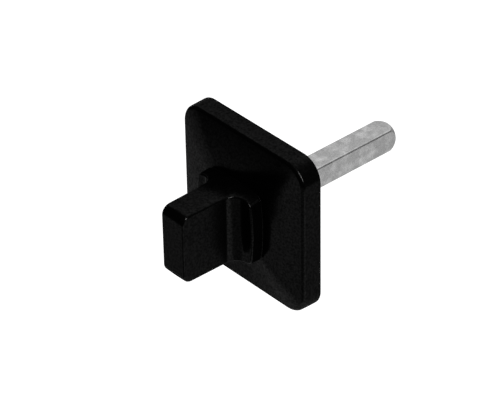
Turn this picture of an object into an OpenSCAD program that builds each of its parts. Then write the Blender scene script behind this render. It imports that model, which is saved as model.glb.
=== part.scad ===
// Thumbturn knob on a square rose, with a square spindle for a mortice lock.
// The origin is on the spindle's axis, in the plane of the door's face.
// -Y points at the person who turns the knob, +Y points into the door, +Z is up.
// At rest the blade stands upright, as it does when the lock is open.

/* [Rose] */
// Side of the square rose
rose_side = 55.6; // [52:0.1:60]
// Depth of the rose, from the door to the flat middle of its face
rose_depth = 10.4; // [10.2:0.1:12]
// Depth of the rose at its edges, where its face slopes down to its sides
rose_edge_depth = 7.1; // [6.9:0.1:7.6]
// Radius of the rose's corners, seen from the front
rose_corner_r = 7.4; // [5.5:0.1:9]
// Radius of the soft edge where the rose's face meets its sides
rose_edge_r = 1.4; // [0.8:0.1:1.6]
// Thickness of the rose's side walls
rose_wall = 1.8; // [1.5:0.1:2.2]
// Thickness of the rose's face, at its flat middle
rose_face = 3.6; // [3.4:0.1:3.8]
// How far the flat middle of the face stays back under the rim of the knob's base
middle_inset = 0.35; // [0.2:0.05:1]

/* [Knob] */
// Width across the knob's base, at the middle of its bowed sides
base_across = 25.9; // [25.4:0.1:28]
// Radius of the bow of the base's sides
base_bow_r = 70; // [60:1:100]
// Radius of the base's corners
base_corner_r = 1.8; // [1.2:0.1:2.5]
// Thickness of the base, at its rim
base_thick = 4.3; // [3.8:0.1:5]
// Length of the knob, from the back of its base to the front of its blade
knob_length = 25.3; // [23:0.1:29]
// Height of the blade, at the middle of its thickness
blade_height = 25; // [24:0.1:25.2]
// Thickness of the blade at its front
blade_thick = 9.8; // [9:0.1:11]
// Draft of the blade's two sides, in degrees
blade_draft = 1.3; // [0.5:0.1:2]
// Radius of the rounding at the top and the bottom of the blade's front
blade_corner_r = 3.2; // [2:0.1:4]
// Radius of the hollow where the blade flares into its base
flare_r = 4; // [3:0.1:4.4]
// Gap between the knob's base and the flat middle of the rose
knob_gap = 0.3; // [0.2:0.05:0.6]
// Diameter of the knob's round neck
neck_d = 16; // [15:0.1:17]

/* [Spindle] */
// Side of the square spindle
spindle_side = 8; // [7:0.1:8]
// How far the spindle reaches behind the rose
spindle_reach = 56.5; // [40:0.1:80]
// How far the spindle reaches into the knob, beyond its neck
spindle_bite = 3.4; // [2:0.1:6]
// Radius of the spindle's long edges
spindle_edge_r = 0.6; // [0.3:0.1:1]
// Radius of the round nose at the spindle's end
spindle_nose_r = 5.7; // [5.6:0.1:8]
// Diameter of the rolled pin that holds the spindle in the neck
pin_d = 2.5; // [2:0.1:3]
// Wall of the rolled pin
pin_wall = 0.5; // [0.4:0.05:0.6]
// How far the pin's ends lie below the neck's surface
pin_inset = 0.4; // [0.2:0.05:1]

/* [Bearing] */
// Running clearance all round the neck and at its faces
running_gap = 0.05; // [0.03:0.01:0.08]
// Wall of the plastic bush in the rose
bush_wall = 1; // [0.8:0.1:1.5]
// Width of the bush's flange, beyond its wall
flange_width = 1.8; // [1:0.1:2.5]
// Depth of the seat that takes the flange in the rose's face
flange_seat = 0.5; // [0.4:0.05:0.8]
// Outer diameter of the backing washer, behind the rose's face
washer_d = 22; // [20.5:0.1:23]
// Outer diameter of the wave washer
wave_d = 21.4; // [20:0.1:23]
// Thickness of the flat backing washer
backing_thick = 0.5; // [0.4:0.05:0.6]
// Height that the wave washer is pressed down to
wave_height = 1; // [0.8:0.05:1.1]
// Thickness of the wave washer's steel
wave_thick = 0.3; // [0.2:0.05:0.35]
// Thickness of the retaining ring
ring_thick = 1; // [0.8:0.05:1.2]
// Depth of the retaining ring's groove in the neck
groove_depth = 0.4; // [0.3:0.05:0.6]
// Widest part of the retaining ring, opposite its gap
ring_width = 2.2; // [1.8:0.1:2.6]

/* [Mounting plate] */
// Thickness of the mounting plate
plate_thick = 3; // [2.6:0.1:3.4]
// Gap between the mounting plate and the rose's walls
plate_gap = 0.2; // [0.1:0.05:0.4]
// Diameter of the plate's opening, round the neck
plate_opening_d = 20; // [18:0.5:22]
// Distance between the two bolt holes, side by side
bolt_spacing = 38; // [37:0.5:39]
// Diameter of the two bolt holes
bolt_hole_d = 4.3; // [4:0.1:4.6]
// Distance between the four wood screw holes, both ways
screw_spacing = 33; // [31:0.5:34]
// Diameter of the four wood screw holes
screw_hole_d = 3.6; // [3.2:0.1:4]
// Width of the ledge that hooks the rose over the plate
hook_width = 16; // [12:1:20]
// How far that ledge stands out from the rose's upper wall
hook_reach = 1.3; // [1:0.1:1.6]

/* [Rose screw] */
// Diameter of the grub screw that holds the rose on the plate
grub_d = 3; // [2.5:0.1:3]
// Length of that grub screw, with its cone point
grub_length = 6; // [5:0.5:8]
// How deep the screw's outer end lies under the rose's lower side
grub_recess = 0.6; // [0.3:0.1:1]

/* [Hidden] */
$fn = 96;

// Small clearances between pieces that don't move on each other
seat_gap = 0.05;
press_gap = 0.02;
hook_gap = 0.1;
hook_room = 0.3;
washer_gap = 0.15;
// How far a cut runs past the face that it opens
over = 1;
// How far a boss is sunk into the wall that it grows from
root = 0.3;

black_paint = [0.07, 0.07, 0.075];
zinc_plate = [0.7, 0.7, 0.69];
bare_zinc = [0.5, 0.5, 0.51];
spring_steel = [0.36, 0.36, 0.38];
dark_nylon = [0.16, 0.16, 0.17];

// Places along Y, from the front of the stack to its back
middle_y = -rose_depth;
base_back_y = middle_y - knob_gap;
base_front_y = base_back_y - base_thick;
spindle_front_y = base_back_y - spindle_bite;
knob_front_y = base_back_y - knob_length;
rose_inside_y = -(rose_depth - rose_face);
backing_front_y = rose_inside_y + running_gap;
wave_front_y = backing_front_y + backing_thick;
ring_front_y = wave_front_y + wave_height;
ring_back_y = ring_front_y + ring_thick;
groove_back_y = ring_back_y + seat_gap;
neck_land = 0.55;
pin_y = groove_back_y + neck_land + pin_d / 2;
neck_end_y = pin_y + pin_d / 2 + neck_land;

// Sizes across the axis
rose_half = rose_side / 2;
room_half = rose_half - rose_wall;
room_corner_r = rose_corner_r - rose_wall;
room_top_half = rose_half - 10.2;
room_edge_depth = rose_edge_depth - 2.4;
room_slope = (-rose_inside_y - room_edge_depth) / (room_half - room_top_half);
plate_half = room_half - plate_gap;
base_half = base_across / 2;
middle_half = base_half - middle_inset;
slope_half = middle_half - 0.3;
slope_depth = rose_depth - 0.33;
slope_swell = 0.3;
blade_half = blade_thick / 2;
neck_r = neck_d / 2;
bush_bore_r = neck_r + running_gap;
bush_r = bush_bore_r + bush_wall;
flange_r = bush_r + flange_width;
washer_bore_r = neck_r + washer_gap;
spindle_half = spindle_side / 2;
spindle_corner = (spindle_half - spindle_edge_r) * sqrt(2) + spindle_edge_r;
socket_half = spindle_half + seat_gap;

// The rose's hook, its screw boss and the lug on the plate that the screw bears on
hook_thick = 1.2;
hook_back_y = -0.4;
hook_front_y = hook_back_y - hook_thick;
hook_low_z = room_half - hook_reach;
grub_y = -3;
grub_point = 1;
grub_bite = 0.7;
grub_outer_z = -(rose_half - grub_recess);
grub_point_z = grub_outer_z + grub_length - grub_point;
lug_half = 4.5;
lug_low_z = grub_outer_z + grub_length - grub_bite;
lug_height = 4;
lug_depth = room_edge_depth + (room_half + lug_low_z) * room_slope - 0.3;
boss_half = 3.5;
boss_top_z = lug_low_z - 0.6;
boss_back_y = -0.5;
boss_front_y = -room_edge_depth - rose_wall;
countersink_depth = 2.1;

// Points of an arc about a centre, from one angle to another
function arc(centre, r, from, to, steps) =
    [for (k = [0 : steps])
        let (angle = from + (to - from) * k / steps)
        centre + r * [cos(angle), sin(angle)]];

function turned(points, angle) =
    [for (p = points) [p[0] * cos(angle) - p[1] * sin(angle), p[0] * sin(angle) + p[1] * cos(angle)]];

// A square outline whose four sides bow outwards, with round corners that run into them
function bowed_square(half, bow_r, corner_r) =
    let (bow_x = half - bow_r,
         reach = bow_r - corner_r,
         corner = (bow_x + sqrt(2 * reach * reach - bow_x * bow_x)) / 2,
         meet = atan2(corner, corner - bow_x),
         side = arc([bow_x, 0], bow_r, -meet, meet, 12),
         bend = arc([corner, corner], corner_r, meet, 90 - meet, 8))
    [for (quarter = [0 : 3])
        each turned(concat(side, [for (k = [1 : len(bend) - 2]) bend[k]]), 90 * quarter)];

// Extrudes an outline drawn in X and Z from one place along Y to another
module along_y(front, back) {
    translate([0, back, 0])
        rotate([90, 0, 0])
            linear_extrude(back - front)
                children();
}

module rod(r, front, back) {
    along_y(front, back) circle(r);
}

// Four round columns that stand at the corners of a square
module at_corners(half, corner_r) {
    for (x = [-1, 1], z = [-1, 1])
        translate([x * (half - corner_r), 0, z * (half - corner_r)])
            rotate([90, 0, 0])
                children();
}

// A thin round-cornered slice of a sloping block, whose front lies at a depth
module slice(half, depth) {
    corner_r = half * rose_corner_r / rose_half;
    at_corners(half, corner_r)
        translate([0, 0, depth - 0.2])
            cylinder(r = corner_r, h = 0.2, $fn = 48);
}

// The rose without its hollow: straight sides, and a face that slopes up to its middle
module rose_block() {
    mean_half = (rose_half + slope_half) / 2;
    mean_depth = (rose_edge_depth + slope_depth) / 2 + slope_swell;
    slope = atan2(mean_depth - rose_edge_depth, rose_half - mean_half);
    edge_set = rose_edge_r * tan((90 - slope) / 2);
    hull() {
        at_corners(rose_half, rose_corner_r)
            rotate_extrude($fn = 48)
                polygon(concat([[0, 0], [rose_corner_r, 0]],
                               arc([rose_corner_r - rose_edge_r, rose_edge_depth - edge_set], rose_edge_r,
                                   0, 90 - slope, 6),
                               [[0, rose_edge_depth]]));
        slice(mean_half, mean_depth);
        slice(slope_half, slope_depth);
    }
}

// The hollow behind the rose's face, open to the door
module rose_room() {
    hull() {
        translate([0, over, 0])
            at_corners(room_half, room_corner_r)
                cylinder(r = room_corner_r, h = room_edge_depth + over, $fn = 48);
        slice(room_top_half, -rose_inside_y);
    }
}

// The shell of the rose, with the ledge that hooks it on and the boss for its screw
module rose_cover() {
    color(black_paint)
    difference() {
        union() {
            difference() {
                union() {
                    rose_block();
                    along_y(middle_y, middle_y + 1.4)
                        polygon(bowed_square(middle_half, base_bow_r, base_corner_r));
                }
                rose_room();
            }
            translate([-hook_width / 2, hook_front_y, hook_low_z])
                cube([hook_width, hook_thick, hook_reach + root]);
            translate([-boss_half, boss_front_y, -room_half - root])
                cube([2 * boss_half, boss_back_y - boss_front_y, boss_top_z + room_half + root]);
        }
        rod(bush_r + press_gap, middle_y - over, over);
        rod(flange_r + seat_gap, middle_y - over, middle_y + flange_seat);
        translate([0, grub_y, -rose_half - over])
            cylinder(r = grub_d / 2 + press_gap, h = rose_half + over + boss_top_z + over);
    }
}

// The plate that is screwed to the door, which the rose hooks over at the top
module mounting_plate() {
    plate_corner_r = room_corner_r - plate_gap;
    inner = plate_half - plate_corner_r;
    color(bare_zinc)
    difference() {
        union() {
            along_y(-plate_thick, 0)
                difference() {
                    union() {
                        square([2 * plate_half, 2 * inner], center = true);
                        square([2 * inner, 2 * plate_half], center = true);
                        for (x = [-1, 1], z = [-1, 1])
                            translate([x * inner, z * inner])
                                circle(plate_corner_r);
                    }
                    translate([-lug_half, -plate_half - over])
                        square([2 * lug_half, lug_low_z + plate_half + over]);
                }
            translate([-lug_half, -lug_depth, lug_low_z])
                cube([2 * lug_half, lug_depth, lug_height]);
        }
        rod(plate_opening_d / 2, -plate_thick - over, over);
        for (x = [-1, 1])
            translate([x * bolt_spacing / 2, 0, 0])
                countersunk_hole(bolt_hole_d);
        for (x = [-1, 1], z = [-1, 1])
            translate([x * screw_spacing / 2, 0, z * screw_spacing / 2])
                countersunk_hole(screw_hole_d);
        // The rebate that the rose's ledge lies in, behind the plate's upper edge
        translate([-hook_width / 2 - hook_room, hook_front_y - hook_gap, hook_low_z - hook_room])
            cube([hook_width + 2 * hook_room, over + hook_gap - hook_front_y, hook_reach + hook_room + over]);
        // The seat of the grub screw's point
        translate([0, grub_y, grub_point_z])
            cylinder(r1 = grub_d / 2 + seat_gap, r2 = 0.3 * grub_d / 2 + seat_gap, h = grub_point + seat_gap);
    }
}

// A through hole with a cone for the screw's head on the plate's front
module countersunk_hole(d) {
    rod(d / 2, -plate_thick - over, over);
    translate([0, -plate_thick, 0])
        rotate([-90, 0, 0])
            cylinder(r1 = d, r2 = d / 2, h = min(d / 2, countersink_depth));
}

// Holds the rose down: it is reached from under the rose with a hexagon key
module rose_grub_screw() {
    color(spring_steel)
    translate([0, grub_y, grub_outer_z])
        difference() {
            union() {
                cylinder(r = grub_d / 2, h = grub_length - grub_point);
                translate([0, 0, grub_length - grub_point])
                    cylinder(r1 = grub_d / 2, r2 = 0.3 * grub_d / 2, h = grub_point);
            }
            translate([0, 0, -over])
                cylinder(r = grub_d / 3.5, h = over + grub_d / 2, $fn = 6);
        }
}

// The bearing that the neck turns in; its flange carries the knob's base clear of the paint
module neck_bush() {
    color(dark_nylon)
    difference() {
        union() {
            rod(bush_r, middle_y + flange_seat - root, rose_inside_y);
            rod(flange_r, base_back_y + running_gap, middle_y + flange_seat);
        }
        rod(bush_bore_r, base_back_y - over, over);
    }
}

// The knob: a blade that flares into a bowed square base, with a round neck behind it
module thumbturn() {
    color(black_paint)
    difference() {
        union() {
            along_y(base_front_y, base_back_y)
                polygon(bowed_square(base_half, base_bow_r, base_corner_r));
            intersection() {
                along_y(knob_front_y, base_front_y + root)
                    polygon(bowed_square(blade_height / 2, base_bow_r, base_corner_r));
                blade_profile();
            }
            rod(neck_r, base_back_y - root, neck_end_y);
        }
        for (side = [0, 1])
            mirror([side, 0, 0])
                blade_scoop();
        difference() {
            rod(neck_r + over, ring_front_y - seat_gap, groove_back_y);
            rod(neck_r - groove_depth, ring_front_y - over, groove_back_y + over);
        }
        along_y(spindle_front_y - seat_gap, over)
            square(2 * socket_half, center = true);
        translate([-neck_r - over, pin_y, 0])
            rotate([0, 90, 0])
                cylinder(r = pin_d / 2 + press_gap, h = 2 * (neck_r + over));
    }
}

// The knob seen from the side: round at the top and the bottom of its front
module blade_profile() {
    corner_y = knob_front_y + blade_corner_r;
    top_z = blade_height / 2;
    corner_z = top_z - blade_corner_r;
    rotate([90, 0, 90])
        linear_extrude(2 * base_across, center = true)
            polygon(concat(arc([corner_y, corner_z], blade_corner_r, 90, 180, 10),
                           arc([corner_y, -corner_z], blade_corner_r, 180, 270, 10),
                           [[over, -top_z], [over, top_z]]));
}

// What is cut away beside the blade, down to the base and round the flare
module blade_scoop() {
    flare_y = base_front_y - flare_r;
    side_x = blade_half + (flare_y - knob_front_y) * tan(blade_draft);
    flare_x = side_x + flare_r / cos(blade_draft);
    front_x = blade_half - over * tan(blade_draft);
    translate([0, 0, -base_across])
        linear_extrude(2 * base_across)
            polygon(concat([[base_across, knob_front_y - over], [base_across, base_front_y]],
                           arc([flare_x, flare_y], flare_r, 90, 180 - blade_draft, 12),
                           [[front_x, knob_front_y - over]]));
}

// The square bar that turns the lock, with soft edges and a round nose
module spindle() {
    inner = spindle_half - spindle_edge_r;
    nose_y = spindle_reach - spindle_nose_r;
    color(zinc_plate)
    difference() {
        intersection() {
            along_y(spindle_front_y, spindle_reach)
                polygon([for (quarter = [0 : 3])
                            each turned(arc([inner, inner], spindle_edge_r, 0, 90, 6), 90 * quarter)]);
            union() {
                rod(spindle_corner + over, spindle_front_y - over, nose_y);
                translate([0, nose_y, 0])
                    sphere(spindle_nose_r);
            }
        }
        translate([-spindle_side, pin_y, 0])
            rotate([0, 90, 0])
                cylinder(r = pin_d / 2 + press_gap, h = 2 * spindle_side);
    }
}

// A rolled pin across the neck, through the spindle
module spindle_pin() {
    length = neck_d - 2 * pin_inset;
    color(spring_steel)
    translate([-length / 2, pin_y, 0])
        rotate([0, 90, 0])
            linear_extrude(length)
                difference() {
                    circle(pin_d / 2, $fn = 48);
                    circle(pin_d / 2 - pin_wall, $fn = 48);
                    translate([0, -pin_d / 8])
                        square([pin_d, pin_d / 4]);
                }
}

// Lies on the back of the rose's face, so that the wave washer doesn't wear it
module backing_washer() {
    color(zinc_plate)
    along_y(backing_front_y, wave_front_y)
        difference() {
            circle(washer_d / 2);
            circle(washer_bore_r);
        }
}

// Pulls the knob back against its bush, with three waves round its ring
module wave_washer() {
    steps = 60;
    inner_r = washer_bore_r;
    outer_r = wave_d / 2;
    middle_y = wave_front_y + wave_height / 2;
    swing = (wave_height - wave_thick) / 2 - press_gap;
    section = [[inner_r, -wave_thick / 2], [outer_r, -wave_thick / 2],
               [outer_r, wave_thick / 2], [inner_r, wave_thick / 2]];
    ring_points = [for (k = [0 : steps - 1])
                      let (angle = 360 * k / steps, y = middle_y + swing * cos(3 * angle))
                      each [for (p = section) [p[0] * cos(angle), y + p[1], p[0] * sin(angle)]]];
    ring_faces = [for (k = [0 : steps - 1], side = [0 : 3])
                     let (next = (k + 1) % steps, turn = (side + 1) % 4)
                     each [[4 * k + side, 4 * k + turn, 4 * next + turn],
                           [4 * k + side, 4 * next + turn, 4 * next + side]]];
    color(spring_steel)
    polyhedron(ring_points, ring_faces);
}

// Snaps into the neck's groove and keeps the knob in the rose
module retaining_ring() {
    inner_r = neck_r - groove_depth + seat_gap;
    eye_r = 1.8;
    eye_hole_r = 0.85;
    eye_angle = 17;
    eye_place = inner_r + eye_r - 0.3;
    offset_z = -0.3;
    color(spring_steel)
    along_y(ring_front_y, ring_back_y)
        difference() {
            union() {
                difference() {
                    translate([0, offset_z])
                        circle(inner_r + ring_width + offset_z);
                    polygon([[0, 0], turned([[3 * neck_r, 0]], 90 - eye_angle)[0],
                             turned([[3 * neck_r, 0]], 90 + eye_angle)[0]]);
                }
                for (side = [-1, 1])
                    rotate(side * eye_angle)
                        translate([0, eye_place])
                            circle(eye_r);
            }
            circle(inner_r);
            for (side = [-1, 1])
                rotate(side * eye_angle)
                    translate([0, eye_place])
                        circle(eye_hole_r);
        }
}

rose_cover();
mounting_plate();
rose_grub_screw();
neck_bush();
thumbturn();
spindle();
spindle_pin();
backing_washer();
wave_washer();
retaining_ring();
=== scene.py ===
"""Dresses the thumbturn knob: a black cast rose whose face slopes to its edges, a black blade that turns
on it, a zinc plated spindle behind, and the hardware that holds them together."""
import math

import bmesh
import bpy
from mathutils import Matrix, Vector


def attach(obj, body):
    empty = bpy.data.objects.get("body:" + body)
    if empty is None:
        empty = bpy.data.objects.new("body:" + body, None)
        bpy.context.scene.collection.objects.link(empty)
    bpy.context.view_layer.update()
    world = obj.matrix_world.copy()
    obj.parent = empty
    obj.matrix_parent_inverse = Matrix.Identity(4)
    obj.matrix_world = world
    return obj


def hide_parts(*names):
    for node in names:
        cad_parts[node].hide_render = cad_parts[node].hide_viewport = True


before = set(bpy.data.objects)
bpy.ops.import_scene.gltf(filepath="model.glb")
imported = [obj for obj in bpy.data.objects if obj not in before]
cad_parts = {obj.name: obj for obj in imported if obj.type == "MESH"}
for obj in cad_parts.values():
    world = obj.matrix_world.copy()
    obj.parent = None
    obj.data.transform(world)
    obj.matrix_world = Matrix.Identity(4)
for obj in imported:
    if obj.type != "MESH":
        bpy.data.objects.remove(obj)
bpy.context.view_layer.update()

# The rose is a hollow zinc casting, 55.6 mm square, powder coated black. Its face falls to the edges like a
# low hipped roof, from a flat middle that the knob turns on. It hooks over the mounting plate at the top,
# and a grub screw from below pulls it on.
mm = 0.001
rose_half, rose_corner, rose_wall = 27.8, 7.4, 1.8
eave_y, eave_edge, side_draft, back_edge = -7.1, 1.1, 0.15, 0.15
slope_half, slope_y, slope_swell = 12.3, -10.07, 0.3
middle_half, middle_y, middle_back = 12.6, -10.4, -9.0
middle_corner, middle_bow, middle_edge = 1.8, 70.0, 0.2
room_eave_y, room_top_half, room_top_y = -4.7, 17.6, -6.8
bore_r, flange_seat_r, flange_seat_depth = 9.07, 10.9, 0.5
hook_half, hook_front, hook_back, hook_reach = 8, -1.6, -0.4, 1.3
boss_half, boss_front, boss_back, boss_top = 3.5, -6.5, -0.5, -22.5
lug_edge, lug_root = 0.3, 0.3
screw_hole_r, screw_y, screw_middle_z, screw_hole_length = 1.52, -3, -25, 8


def select_only(piece):
    """Leaves only this piece selected and active."""
    bpy.ops.object.select_all(action="DESELECT")
    piece.select_set(True)
    bpy.context.view_layer.objects.active = piece


def block(name, low, high):
    """A rectangular blank between two corners, in millimetres."""
    bpy.ops.object.select_all(action="DESELECT")
    middle = [(a + b) / 2 * mm for a, b in zip(low, high)]
    bpy.ops.mesh.primitive_cube_add(size=1, location=middle)
    piece = bpy.context.object
    piece.name = name
    piece.scale = [(b - a) * mm for a, b in zip(low, high)]
    bpy.ops.object.transform_apply(location=True, rotation=True, scale=True)
    return piece


def peg(name, radius, length, middle, turn, sides):
    """A round blank about a middle, in millimetres. It is upright before its turn, which is in radians."""
    bpy.ops.object.select_all(action="DESELECT")
    bpy.ops.mesh.primitive_cylinder_add(vertices=sides, radius=radius * mm, depth=length * mm,
                                        location=[place * mm for place in middle], rotation=turn)
    piece = bpy.context.object
    piece.name = name
    bpy.ops.object.transform_apply(location=True, rotation=True, scale=True)
    return piece


def rod(name, radius, front, back):
    """A round blank along Y between two depths, in millimetres."""
    return peg(name, radius, back - front, (0, (front + back) / 2, 0), (math.pi / 2, 0, 0), 96)


def pick(piece, kind, wanted):
    """In edit mode, selects the vertices, edges or faces that the test wants."""
    bpy.ops.mesh.select_mode(type=kind)
    bpy.ops.mesh.select_all(action="DESELECT")
    mesh = bmesh.from_edit_mesh(piece.data)
    found = 0
    for part in {"VERT": mesh.verts, "EDGE": mesh.edges, "FACE": mesh.faces}[kind]:
        if wanted(part):
            part.select_set(True)
            found += 1
    mesh.select_flush_mode()
    bmesh.update_edit_mesh(piece.data)
    return found


def on(value, level, play=0.02):
    """Whether a coordinate lies at a level that is given in millimetres."""
    return abs(value / mm - level) < play


def edge_lies(edge, axis, level):
    """Whether both ends of an edge lie at a level along an axis."""
    return all(on(v.co[axis], level) for v in edge.verts)


def edge_runs(edge, axis):
    """Whether an edge runs along an axis."""
    a, b = (v.co for v in edge.verts)
    return all(abs(a[k] - b[k]) < 1e-7 for k in range(3) if k != axis)


def is_sharp(edge, least=30):
    """Whether the two faces at an edge meet at more than so many degrees."""
    return len(edge.link_faces) == 2 and edge.calc_face_angle(0) > math.radians(least)


def round_off(piece, wanted, radius, segments):
    """Rounds the wanted edges, convex or concave, to a radius in millimetres."""
    select_only(piece)
    bpy.ops.object.mode_set(mode="EDIT")
    if pick(piece, "EDGE", wanted):
        bpy.ops.mesh.bevel(offset=radius * mm, offset_type="OFFSET", segments=segments, profile=0.5,
                           affect="EDGES", clamp_overlap=False)
    bpy.ops.object.mode_set(mode="OBJECT")


def evenly(gap, count):
    """Evenly spaced places, so many on each side of the middle."""
    return [gap * k for k in range(-count, count + 1)]


def cut_across(piece, axis, places):
    """Adds straight cuts across a piece, so that it can be bowed."""
    select_only(piece)
    bpy.ops.object.mode_set(mode="EDIT")
    bpy.ops.mesh.select_mode(type="VERT")
    for place in places:
        point, normal = [0.0, 0.0, 0.0], [0.0, 0.0, 0.0]
        point[axis], normal[axis] = place * mm, 1.0
        bpy.ops.mesh.select_all(action="SELECT")
        bpy.ops.mesh.bisect(plane_co=point, plane_no=normal)
    bpy.ops.object.mode_set(mode="OBJECT")


def bow(piece, along, across, half, radius, reach=1.0, least=0.0):
    """Draws in the sides of a piece towards its corners, so that each side bows to a radius. Rows of
    points with the same place along one axis are scaled together across the other, where they lie
    farther out than the least. A reach under 1 flattens the bow."""
    select_only(piece)
    rows = sorted({round(abs(v.co[along]) / mm, 3) for v in piece.data.vertices})
    bpy.ops.object.mode_set(mode="EDIT")
    for row in rows:
        sag = radius - math.sqrt(radius ** 2 - (reach * row) ** 2)
        size = [1.0, 1.0, 1.0]
        size[across] = 1 - sag / half
        if row > 0.01 and pick(piece, "VERT", lambda v: abs(abs(v.co[along]) / mm - row) < 0.0006
                               and abs(v.co[across]) / mm > least):
            bpy.ops.transform.resize(value=size, center_override=(0, 0, 0))
    bpy.ops.object.mode_set(mode="OBJECT")


def combine(piece, other, operation):
    """Adds another solid to a piece, or cuts it away, and clears the other."""
    select_only(piece)
    step = piece.modifiers.new(operation.lower(), "BOOLEAN")
    step.operation = operation
    step.solver = "EXACT"
    step.object = other
    bpy.ops.object.modifier_apply(modifier=step.name)
    bpy.data.objects.remove(other, do_unlink=True)


def clean_up(piece):
    """Merges doubled points and joins faces that lie in one plane."""
    select_only(piece)
    bpy.ops.object.mode_set(mode="EDIT")
    bpy.ops.mesh.select_mode(type="VERT")
    bpy.ops.mesh.select_all(action="SELECT")
    bpy.ops.mesh.remove_doubles(threshold=0.002 * mm)
    bpy.ops.mesh.dissolve_limited(angle_limit=math.radians(0.3))
    bpy.ops.object.mode_set(mode="OBJECT")


def smooth(piece, angle=32):
    """Shades a piece smooth between its sharp edges, with the large faces kept flat."""
    select_only(piece)
    bpy.ops.object.shade_smooth_by_angle(angle=math.radians(angle))
    flat = piece.modifiers.new("flat_faces", "WEIGHTED_NORMAL")
    flat.keep_sharp = True
    flat.weight = 100
    bpy.ops.object.modifier_apply(modifier=flat.name)


def hipped_block(name, half, corner, back, eave, top_half, top, swell=0.0, draft=0.0):
    """A square block with round corners, whose front slopes up from the eaves to a flat top.
    The slope may swell a little at its middle, and the sides draw in a little towards the eaves."""
    piece = block(name, (-half, eave, -half), (half, back, half))
    round_off(piece, lambda e: edge_runs(e, 1), corner, 12)
    if draft:
        steps = 6
        cut_across(piece, 1, [eave * k / steps for k in range(1, steps)])
        for k in range(1, steps + 1):
            size = 1 - draft * (k / steps) ** 2 / half
            bpy.ops.object.mode_set(mode="EDIT")
            pick(piece, "VERT", lambda v: on(v.co.y, eave * k / steps))
            bpy.ops.transform.resize(value=(size, 1, size), center_override=(0, 0, 0))
            bpy.ops.object.mode_set(mode="OBJECT")
    rows = [(top_half, top)]
    if swell:
        rows.insert(0, ((half + top_half) / 2, (eave + top) / 2 - swell))
    width, level = half, eave
    bpy.ops.object.mode_set(mode="EDIT")
    for next_width, next_level in rows:
        pick(piece, "FACE", lambda f: f.normal.y < -0.99)
        bpy.ops.mesh.extrude_region_move(TRANSFORM_OT_translate={"value": (0, (next_level - level) * mm, 0)})
        bpy.ops.transform.resize(value=(next_width / width, 1, next_width / width), center_override=(0, 0, 0))
        width, level = next_width, next_level
    bpy.ops.object.mode_set(mode="OBJECT")
    return piece


def bowed_block(name, half, corner, radius, front, back, edge):
    """A square block with bowed sides, round corners and a soft front edge."""
    piece = block(name, (-half, front, -half), (half, back, half))
    round_off(piece, lambda e: edge_runs(e, 1), corner, 8)
    round_off(piece, lambda e: edge_lies(e, 1, front) and is_sharp(e), edge, 4)
    for axis in (0, 2):
        cut_across(piece, axis, evenly(1.5, 7))
    bow(piece, 2, 0, half, radius, reach=0.9)
    bow(piece, 0, 2, half, radius)
    return piece


rose = hipped_block("rose", rose_half, rose_corner, 0, eave_y, slope_half, slope_y, slope_swell, side_draft)
round_off(rose, lambda e: edge_lies(e, 1, eave_y) and is_sharp(e), eave_edge, 8)
middle = bowed_block("middle", middle_half, middle_corner, middle_bow, middle_y, middle_back, middle_edge)
combine(rose, middle, "UNION")
clean_up(rose)

room_half = rose_half - rose_wall
room = hipped_block("room", room_half, rose_corner - rose_wall, 1, room_eave_y, room_top_half, room_top_y)
combine(rose, room, "DIFFERENCE")
combine(rose, rod("bore", bore_r, middle_y - 1, 1), "DIFFERENCE")
combine(rose, rod("flange_seat", flange_seat_r, middle_y - 1, middle_y + flange_seat_depth), "DIFFERENCE")
hook_tip = room_half - hook_reach
hook = block("hook", (-hook_half, hook_front, hook_tip), (hook_half, hook_back, room_half + lug_root))
round_off(hook, lambda e: edge_lies(e, 2, hook_tip), lug_edge, 3)
combine(rose, hook, "UNION")
boss_bottom = -room_half - lug_root
boss = block("boss", (-boss_half, boss_front, boss_bottom), (boss_half, boss_back, boss_top))
round_off(boss, lambda e: edge_lies(e, 1, boss_back) and not edge_lies(e, 2, boss_bottom), lug_edge, 3)
combine(rose, boss, "UNION")
screw_hole = peg("screw_hole", screw_hole_r, screw_hole_length, (0, screw_y, screw_middle_z), (0, 0, 0), 48)
combine(rose, screw_hole, "DIFFERENCE")
clean_up(rose)
round_off(rose, lambda e: edge_lies(e, 1, 0) and is_sharp(e, 60), back_edge, 2)
smooth(rose)
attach(rose, "rose")
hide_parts("rose_cover")


def new_material(name):
    """A material that holds only a shader and its output."""
    material = bpy.data.materials.new(name)
    material.use_nodes = True
    tree = material.node_tree
    tree.nodes.clear()
    output = tree.nodes.new("ShaderNodeOutputMaterial")
    shader = tree.nodes.new("ShaderNodeBsdfPrincipled")
    tree.links.new(shader.outputs["BSDF"], output.inputs["Surface"])
    return material, tree, shader


def grain_group():
    """The uneven tone of a coated or drawn surface: broad patches and a fine grain."""
    group = bpy.data.node_groups.new("surface grain", "ShaderNodeTree")
    face = group.interface
    face.new_socket(name="Vector", in_out="INPUT", socket_type="NodeSocketVector")
    for label in ("Patch Scale", "Grain Scale", "Detail"):
        face.new_socket(name=label, in_out="INPUT", socket_type="NodeSocketFloat")
    for label in ("Patches", "Grain"):
        face.new_socket(name=label, in_out="OUTPUT", socket_type="NodeSocketFloat")
    start = group.nodes.new("NodeGroupInput")
    end = group.nodes.new("NodeGroupOutput")
    for label, scale in (("Patches", "Patch Scale"), ("Grain", "Grain Scale")):
        noise = group.nodes.new("ShaderNodeTexNoise")
        group.links.new(start.outputs["Vector"], noise.inputs["Vector"])
        group.links.new(start.outputs[scale], noise.inputs["Scale"])
        group.links.new(start.outputs["Detail"], noise.inputs["Detail"])
        group.links.new(noise.outputs["Fac"], end.inputs[label])
    return group


surface_grain = grain_group()


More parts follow.
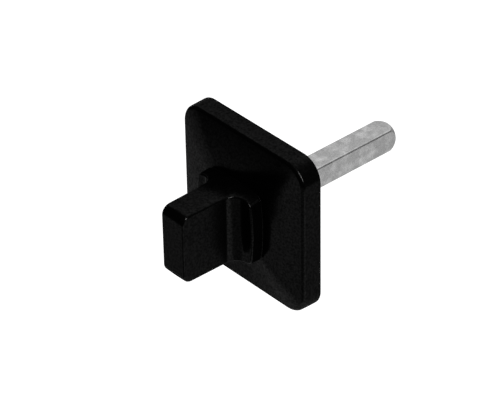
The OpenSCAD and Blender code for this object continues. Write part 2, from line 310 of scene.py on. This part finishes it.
def add_grain(tree, patch_scale, grain_scale, detail=4.0):
    """Puts the grain into a material, on the piece's own coordinates. Scales count features in a metre."""
    place = tree.nodes.new("ShaderNodeTexCoord")
    grain = tree.nodes.new("ShaderNodeGroup")
    grain.node_tree = surface_grain
    grain.inputs["Patch Scale"].default_value = patch_scale
    grain.inputs["Grain Scale"].default_value = grain_scale
    grain.inputs["Detail"].default_value = detail
    tree.links.new(place.outputs["Object"], grain.inputs["Vector"])
    return grain


def ramp(tree, mask, low, high, start, end):
    """Maps a stretch of a mask to a run of values, for a colour's grey or for a plain value."""
    node = tree.nodes.new("ShaderNodeValToRGB")
    for stop, place, value in zip(node.color_ramp.elements, (low, high), (start, end)):
        stop.position = place
        stop.color = (value, value, value, 1)
    tree.links.new(mask, node.inputs["Fac"])
    return node.outputs["Color"]


def bump(tree, mask, shader, strength, height):
    """Raises a surface by a mask, over a height in metres."""
    node = tree.nodes.new("ShaderNodeBump")
    node.inputs["Strength"].default_value = strength
    node.inputs["Distance"].default_value = height
    tree.links.new(mask, node.inputs["Height"])
    tree.links.new(node.outputs["Normal"], shader.inputs["Normal"])


def black_paint():
    """Satin black powder coat: nearly black, with a thin soft sheen and a fine powdery grain."""
    material, tree, shader = new_material("satin black powder coat")
    grain = add_grain(tree, patch_scale=420.0, grain_scale=1500.0)
    tone = ramp(tree, grain.outputs["Patches"], 0.3, 0.7, 0.0003, 0.0005)
    sheen = ramp(tree, grain.outputs["Grain"], 0.36, 0.64, 0.06, 0.18)
    tree.links.new(tone, shader.inputs["Base Color"])
    tree.links.new(sheen, shader.inputs["Coat Weight"])
    shader.inputs["Roughness"].default_value = 0.6
    shader.inputs["Specular IOR Level"].default_value = 0.0
    shader.inputs["Coat Roughness"].default_value = 0.19
    bump(tree, grain.outputs["Grain"], shader, 0.12, 0.00001)
    return material


def give(piece, material):
    """Puts one material all over a piece."""
    piece.data.materials.clear()
    piece.data.materials.append(material)


paint = black_paint()
give(rose, paint)

# The knob is one zinc casting, powder coated like the rose: a blade for the fingers that flares into a
# square base with bowed sides. Behind the base its round neck passes through the rose's bush, with a
# groove for the retaining ring, a square socket for the spindle and a cross hole for the pin.
base_half, base_back, base_front, base_corner = 12.95, -10.7, -15.0, 1.8
base_bow, side_reach, side_least = 70.0, 0.92, 9.6
blade_half, blade_front, blade_tip, blade_root = 12.5, -36.0, 4.9, 5.377
flare_r, blade_corner, knob_edge, base_back_edge = 4.0, 3.2, 0.6, 0.35
neck_r, neck_root, neck_end, neck_edge = 8.0, -11.1, -0.6, 0.3
groove_r, groove_front, groove_back = 7.6, -5.3, -4.2
socket_half, socket_floor = 4.05, -14.15
pin_hole_r, pin_hole_length, pin_y = 1.27, 20, -2.4

knob = block("knob", (-base_half, base_front, -base_half), (base_half, base_back, base_half))
cut_across(knob, 0, (-blade_root, blade_root))
bpy.ops.object.mode_set(mode="EDIT")
pick(knob, "FACE", lambda f: f.normal.y < -0.9)
bpy.ops.transform.resize(value=(1, 1, blade_half / base_half), center_override=(0, 0, 0))
pick(knob, "FACE", lambda f: f.normal.y < -0.9 and abs(f.calc_center_median().x) < blade_root * mm / 2)
bpy.ops.mesh.extrude_region_move(TRANSFORM_OT_translate={"value": (0, (blade_front - base_front) * mm, 0)})
bpy.ops.transform.resize(value=(blade_tip / blade_root, 1, 1), center_override=(0, 0, 0))
bpy.ops.object.mode_set(mode="OBJECT")
round_off(knob, lambda e: edge_lies(e, 1, base_front) and edge_runs(e, 2)
          and on(abs(e.verts[0].co.x), blade_root), flare_r, 14)
round_off(knob, lambda e: edge_lies(e, 1, blade_front) and edge_runs(e, 0), blade_corner, 12)
outer_corner, least_length = base_half - 0.95, 1
round_off(knob, lambda e: all(min(abs(v.co.x), abs(v.co.z)) > outer_corner * mm for v in e.verts)
          and abs(e.verts[0].co.y - e.verts[1].co.y) > least_length * mm, base_corner, 8)
round_off(knob, lambda e: is_sharp(e, 45) and not edge_lies(e, 1, base_back), knob_edge, 6)
round_off(knob, lambda e: is_sharp(e, 45) and edge_lies(e, 1, base_back), base_back_edge, 4)
cut_across(knob, 0, evenly(1.25, 9))
cut_across(knob, 2, evenly(1.5, 7))
bow(knob, 2, 0, base_half, base_bow, side_reach, side_least)
bow(knob, 0, 2, base_half, base_bow)

neck = rod("neck", neck_r, neck_root, neck_end)
round_off(neck, lambda e: edge_lies(e, 1, neck_end) and is_sharp(e), neck_edge, 3)
groove = rod("groove", neck_r + 1, groove_front, groove_back)
combine(groove, rod("groove_floor", groove_r, groove_front - 1, groove_back + 1), "DIFFERENCE")
combine(neck, groove, "DIFFERENCE")
combine(knob, neck, "UNION")
socket = block("socket", (-socket_half, socket_floor, -socket_half), (socket_half, 1, socket_half))
combine(knob, socket, "DIFFERENCE")
cross_hole = peg("cross_hole", pin_hole_r, pin_hole_length, (0, pin_y, 0), (0, math.pi / 2, 0), 32)
combine(knob, cross_hole, "DIFFERENCE")
smooth(knob)
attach(knob, "knob")
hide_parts("thumbturn")
give(knob, paint)

# The spindle is an 8 mm square bar of drawn steel, zinc plated, with soft long edges and a round nose
# that finds its way into the lock. It sits in the knob's neck, held by the rolled pin.
spindle_half, spindle_front, spindle_back = 4.0, -14.1, 56.5
spindle_edge, nose_r, nose_stretch = 0.6, 5.7, 80
nose_middle = spindle_back - nose_r

bar = block("spindle_bar", (-spindle_half, spindle_front, -spindle_half),
            (spindle_half, spindle_back, spindle_half))
round_off(bar, lambda e: edge_runs(e, 1), spindle_edge, 6)
bpy.ops.object.select_all(action="DESELECT")
bpy.ops.mesh.primitive_uv_sphere_add(segments=96, ring_count=64, radius=nose_r * mm,
                                     location=(0, nose_middle * mm, 0), rotation=(math.pi / 2, 0, 0))
nose = bpy.context.object
bpy.ops.object.transform_apply(location=True, rotation=True, scale=True)
# The ball's front half is drawn out past the bar's front end, so that only its back rounds the bar.
bpy.ops.object.mode_set(mode="EDIT")
pick(nose, "VERT", lambda v: v.co.y / mm < nose_middle - 0.1)
bpy.ops.transform.translate(value=(0, -nose_stretch * mm, 0))
bpy.ops.object.mode_set(mode="OBJECT")
combine(bar, nose, "INTERSECT")
clean_up(bar)
smooth(bar, 25)
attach(bar, "knob")
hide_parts("spindle")


def work_out(tree, operation, first, second, clamp=False):
    """One sum on two values, each a socket or a plain number."""
    node = tree.nodes.new("ShaderNodeMath")
    node.operation = operation
    node.use_clamp = clamp
    for place, value in enumerate((first, second)):
        if isinstance(value, (int, float)):
            node.inputs[place].default_value = value
        else:
            tree.links.new(value, node.inputs[place])
    return node.outputs[0]


def zinc_plating():
    """Dull zinc on drawn steel, with paler bloom in patches that a fine grain breaks up."""
    material, tree, shader = new_material("dull zinc plating")
    grain = add_grain(tree, patch_scale=260.0, grain_scale=2400.0, detail=6.0)
    shader.inputs["Metallic"].default_value = 1.0
    bloom = ramp(tree, grain.outputs["Patches"], 0.45, 0.68, 0.5, 0.74)
    speckle = ramp(tree, grain.outputs["Grain"], 0.3, 0.7, 0.84, 1.16)
    gloss = ramp(tree, grain.outputs["Grain"], 0.3, 0.7, 0.24, 0.34)
    tree.links.new(work_out(tree, "MULTIPLY", bloom, speckle), shader.inputs["Base Color"])
    tree.links.new(gloss, shader.inputs["Roughness"])
    bump(tree, grain.outputs["Grain"], shader, 0.15, 0.00003)
    return material


plating = zinc_plating()
give(bar, plating)

# The mounting plate is a bare zinc casting, bolted or screwed to the door through its countersunk holes.
# The rose hooks over its top, and the rose's grub screw bears on the lug at its bottom.


def soften(node, name, radius, body, material):
    """A copy of a solid of the frame, with its edges broken as tumbling or moulding leaves them."""
    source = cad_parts[node]
    piece = source.copy()
    piece.data = source.data.copy()
    bpy.context.collection.objects.link(piece)
    piece.name = name
    select_only(piece)
    bpy.ops.object.mode_set(mode="EDIT")
    bpy.ops.mesh.select_all(action="SELECT")
    bpy.ops.mesh.remove_doubles(threshold=0.001 * mm)
    bpy.ops.mesh.dissolve_limited(angle_limit=math.radians(0.5))
    bpy.ops.object.mode_set(mode="OBJECT")
    bevel = piece.modifiers.new("broken_edges", "BEVEL")
    bevel.width = radius * mm
    bevel.segments = 2
    bevel.limit_method = "ANGLE"
    bevel.angle_limit = math.radians(40)
    bevel.use_clamp_overlap = True
    bpy.ops.object.modifier_apply(modifier=bevel.name)
    smooth(piece)
    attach(piece, body)
    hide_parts(node)
    give(piece, material)


def bare_metal(name, dark, light, smoothest, roughest, grain_scale):
    """Plain uncoated metal: patches of tone, and a fine grain in its gloss."""
    material, tree, shader = new_material(name)
    grain = add_grain(tree, patch_scale=220.0, grain_scale=grain_scale)
    shader.inputs["Metallic"].default_value = 1.0
    tone = ramp(tree, grain.outputs["Patches"], 0.3, 0.7, dark, light)
    gloss = ramp(tree, grain.outputs["Grain"], 0.3, 0.7, smoothest, roughest)
    tree.links.new(tone, shader.inputs["Base Color"])
    tree.links.new(gloss, shader.inputs["Roughness"])
    bump(tree, grain.outputs["Grain"], shader, 0.2, 0.00003)
    return material


cast_zinc = bare_metal("bare cast zinc", dark=0.40, light=0.50, smoothest=0.45, roughest=0.6,
                       grain_scale=900.0)
soften("mounting_plate", "plate", 0.2, "rose", cast_zinc)

# The small steel hardware is hardened and oiled, nearly black: the grub screw in the rose's lower wall, the
# rolled pin through neck and spindle, and on the neck the wave washer and the retaining ring in its groove.
# The flat washer behind the rose's face is zinc plated.
oiled_steel = bare_metal("oiled spring steel", dark=0.10, light=0.14, smoothest=0.3, roughest=0.45,
                         grain_scale=1500.0)
soften("rose_grub_screw", "grub_screw", 0.08, "rose", oiled_steel)
soften("spindle_pin", "rolled_pin", 0.06, "knob", oiled_steel)
soften("wave_washer", "spring_washer", 0.05, "knob", oiled_steel)
soften("retaining_ring", "snap_ring", 0.08, "knob", oiled_steel)
soften("backing_washer", "flat_washer", 0.08, "knob", plating)

# The bush is a turned nylon ring, pressed into the rose from the front. The knob's neck runs in its bore,
# and its flange keeps the knob's base off the painted face.


def nylon():
    """Dark nylon: matt, with a faint mottle."""
    material, tree, shader = new_material("dark nylon")
    grain = add_grain(tree, patch_scale=300.0, grain_scale=2000.0)
    tone = ramp(tree, grain.outputs["Patches"], 0.3, 0.7, 0.035, 0.05)
    gloss = ramp(tree, grain.outputs["Patches"], 0.3, 0.7, 0.5, 0.6)
    tree.links.new(tone, shader.inputs["Base Color"])
    tree.links.new(gloss, shader.inputs["Roughness"])
    bump(tree, grain.outputs["Grain"], shader, 0.1, 0.00003)
    return material


soften("neck_bush", "bush", 0.1, "rose", nylon())

# The floor is a round pale board, far enough below that the part's shadow falls outside the picture. Its
# front edge lies a little before the part. A tall, narrow soft box stands near by on the right. The coat and
# the zinc mirror a board that is dimmer in places, a white wall behind and a dim room elsewhere.
board_radius, board_middle, board_level = 0.6, 0.43, -0.2
shade_x, shade_y, shade_r, shade_rim = -0.19, -0.02, 0.075, 0.085
board_lift = 0.95
bpy.ops.object.select_all(action="DESELECT")
bpy.ops.mesh.primitive_circle_add(vertices=128, radius=board_radius, fill_type="NGON",
                                  location=(0, board_middle, board_level))
floor = bpy.context.object
floor.name = "floor"


def span(tree, source, low, high, start, end):
    """Maps a stretch of values softly to another."""
    node = tree.nodes.new("ShaderNodeMapRange")
    node.interpolation_type = "SMOOTHSTEP"
    for label, value in (("From Min", low), ("From Max", high), ("To Min", start), ("To Max", end)):
        node.inputs[label].default_value = value
    tree.links.new(source, node.inputs["Value"])
    return node.outputs["Result"]


def background(tree, mirrored, unseen):
    """White to the camera, a mirrored level to metal and coat, and a plain level to all other rays."""
    path = tree.nodes.new("ShaderNodeLightPath")
    direct = path.outputs["Is Camera Ray"]
    reflected = work_out(tree, "ADD", path.outputs["Is Glossy Ray"], path.outputs["Is Transmission Ray"])
    shown = work_out(tree, "ADD", direct, work_out(tree, "MULTIPLY", reflected, mirrored), clamp=True)
    seen = work_out(tree, "ADD", direct, reflected, clamp=True)
    rest = work_out(tree, "MULTIPLY", work_out(tree, "SUBTRACT", 1.0, seen), unseen)
    return work_out(tree, "ADD", shown, rest)


def pale_floor():
    """Matt pale board. Seen or mirrored it is lifted towards plain white, and it keeps the part's shadow."""
    material, tree, shader = new_material("pale floor")
    grain = add_grain(tree, patch_scale=3.0, grain_scale=60.0)
    tree.links.new(ramp(tree, grain.outputs["Grain"], 0.3, 0.7, 0.39, 0.41), shader.inputs["Base Color"])
    shader.inputs["Roughness"].default_value = 0.9
    shader.inputs["Specular IOR Level"].default_value = 0.1
    shader.inputs["Emission Color"].default_value = (1, 1, 1, 1)
    place = tree.nodes.new("ShaderNodeTexCoord")
    axes = tree.nodes.new("ShaderNodeSeparateXYZ")
    tree.links.new(place.outputs["Object"], axes.inputs["Vector"])
    reach = tree.nodes.new("ShaderNodeVectorMath")
    reach.operation = "DISTANCE"
    reach.inputs[1].default_value = (shade_x, shade_y - board_middle, 0)
    tree.links.new(place.outputs["Object"], reach.inputs[0])
    # Painted shade and light in the board's glow, which only mirrors see: a round painted shade on the left
    # where the part's shadow would lie, painted dimming towards the back, and painted brightening to the
    # right towards the lamp.
    outside_shade = span(tree, reach.outputs["Value"], shade_r, shade_rim, 0, 1)
    dimmer_behind = span(tree, axes.outputs["Y"], 0.03 - board_middle, 0.12 - board_middle, 1, 0.15)
    brighter_right = span(tree, axes.outputs["X"], -0.1, 0.2, 0.7, 1.4)
    mirrored = work_out(tree, "MULTIPLY", outside_shade, dimmer_behind)
    mirrored = work_out(tree, "MULTIPLY", mirrored, brighter_right)
    lift = work_out(tree, "MULTIPLY", background(tree, mirrored, 0.0), board_lift)
    tree.links.new(lift, shader.inputs["Emission Strength"])
    return material


give(floor, pale_floor())


def towards(turn, lift):
    """The direction that lies so far round to the right from the front, and so far up."""
    return Vector((math.sin(turn) * math.cos(lift), -math.cos(turn) * math.cos(lift), math.sin(lift)))


lamp_turn, lamp_lift, lamp_lean = math.radians(78), math.radians(38), math.radians(20)
lamp_away, lamp_width, lamp_height, lamp_power = 0.75, 0.11, 0.66, 7.8
lamp_place = towards(lamp_turn, lamp_lift) * lamp_away
bpy.ops.object.select_all(action="DESELECT")
bpy.ops.object.light_add(type="AREA", location=lamp_place)
lamp = bpy.context.object
lamp.name = "soft_box"
lamp.data.shape = "RECTANGLE"
lamp.data.size, lamp.data.size_y = lamp_width, lamp_height
lamp.data.energy = lamp_power
facing = (-lamp_place).to_track_quat("-Z", "Y").to_matrix()
lamp.rotation_euler = (facing @ Matrix.Rotation(lamp_lean, 3, "Z")).to_euler()


def studio():
    """A world that is plain white to the camera. In the part's mirror it has a white wall behind, which
    dims to the right, a pale ceiling, and a dim ground that fades upwards and in part to the right."""
    world = bpy.data.worlds.new("studio")
    bpy.context.scene.world = world
    world.use_nodes = True
    tree = world.node_tree
    tree.nodes.clear()
    place = tree.nodes.new("ShaderNodeTexCoord")
    axes = tree.nodes.new("ShaderNodeSeparateXYZ")
    tree.links.new(place.outputs["Object"], axes.inputs["Vector"])
    across, depth, height = axes.outputs["X"], axes.outputs["Y"], axes.outputs["Z"]
    wall = span(tree, depth, -0.05, 0.15, 0, 1)
    for fade in (span(tree, height, 0.5, 0.66, 0.46, 1), span(tree, across, -0.1, 0.35, 1, 0.25)):
        wall = work_out(tree, "MULTIPLY", wall, fade)
    ceiling = span(tree, height, 0.86, 0.95, 0.04, 0.6)
    ground = span(tree, across, -0.6, -0.38, 0.5, 0.75)
    for fade in (span(tree, across, -0.3, -0.05, 1, 0.5), span(tree, height, -0.45, -0.2, 1, 0.04),
                 span(tree, height, -0.66, -0.56, 0.5, 1.25)):
        ground = work_out(tree, "MULTIPLY", ground, fade)
    room = work_out(tree, "MAXIMUM", work_out(tree, "MAXIMUM", ceiling, ground), wall)
    sky = tree.nodes.new("ShaderNodeBackground")
    sky.inputs["Color"].default_value = (1, 1, 1, 1)
    all_round = 0.3
    tree.links.new(background(tree, room, all_round), sky.inputs["Strength"])
    end = tree.nodes.new("ShaderNodeOutputWorld")
    tree.links.new(sky.outputs["Background"], end.inputs["Surface"])


studio()

# The camera stands to the right, in front and above, as in the photograph. A slight shift puts the
# spindle's axis where the photograph has it.
turn, lift, roll = math.radians(48.656443), math.radians(35.116279), math.radians(-0.883084)
distance, lens, shift_x = 0.9066, 209.19, -0.020711
out = towards(turn, lift)
level = Vector((math.cos(turn), math.sin(turn), 0))
upright = out.cross(level)
right = level * math.cos(roll) + upright * math.sin(roll)
up = upright * math.cos(roll) - level * math.sin(roll)
bpy.ops.object.select_all(action="DESELECT")
bpy.ops.object.camera_add(location=out * distance)
camera = bpy.context.object
camera.rotation_euler = Matrix((right, up, out)).transposed().to_euler()
camera.data.lens = lens
camera.data.sensor_width = 36
camera.data.shift_x = shift_x
camera.data.clip_start, camera.data.clip_end = 0.01, 20
bpy.context.scene.camera = camera
bpy.context.scene.view_settings.view_transform = "Standard"
